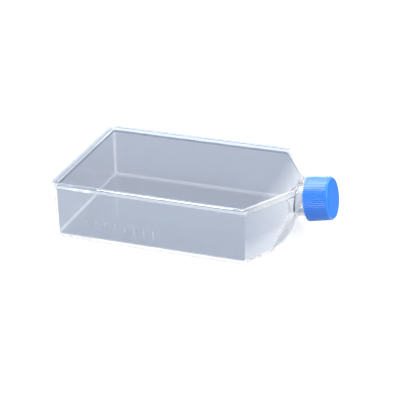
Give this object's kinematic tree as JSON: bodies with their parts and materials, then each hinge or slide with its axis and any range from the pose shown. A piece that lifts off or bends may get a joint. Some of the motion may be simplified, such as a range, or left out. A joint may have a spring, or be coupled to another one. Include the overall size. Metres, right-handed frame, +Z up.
{
  "type": "cell culture flask",
  "caption": "Flat clear flask with sloped shoulders, a canted threaded neck, a ribbed screw cap and a stacking rim, for growing a layer of cells in an incubator.",
  "frame": {"origin": "under the middle of the flask's overall box, on the surface it stands on", "axes": "+X along the flask towards the cap, +Y across it, +Z up"},
  "size_m": [0.2056, 0.12, 0.0521],
  "materials": {
    "clear_tray": "clear moulded polystyrene with a faint blue-grey tint",
    "clear_lid": "clear moulded polystyrene with a faint blue-grey tint",
    "cap": "satin blue polyethylene",
    "seal": "soft natural polyethylene"
  },
  "bodies": {
    "flask": {"flask_body": "clear_tray", "top_plate": "clear_lid"},
    "seal": {"plug_seal": "seal"},
    "cap": {"screw_cap": "cap"}
  },
  "joints": [
    {"name": "cap_lift", "type": "slide", "parent": "flask", "child": "seal", "axis": [0.9848, 0, 0.1736], "range_m": [0, 0.018]},
    {"name": "cap_turn", "type": "hinge", "parent": "seal", "child": "cap", "pos_m": [0.09742, 0, 0.03572], "axis": [0.9848, 0, 0.1736], "range_deg": [0, 1620]}
  ],
  "couplings": [
    {"joint": "cap_lift", "follows": "cap_turn", "m_per_rad": 0.00063662}
  ]
}
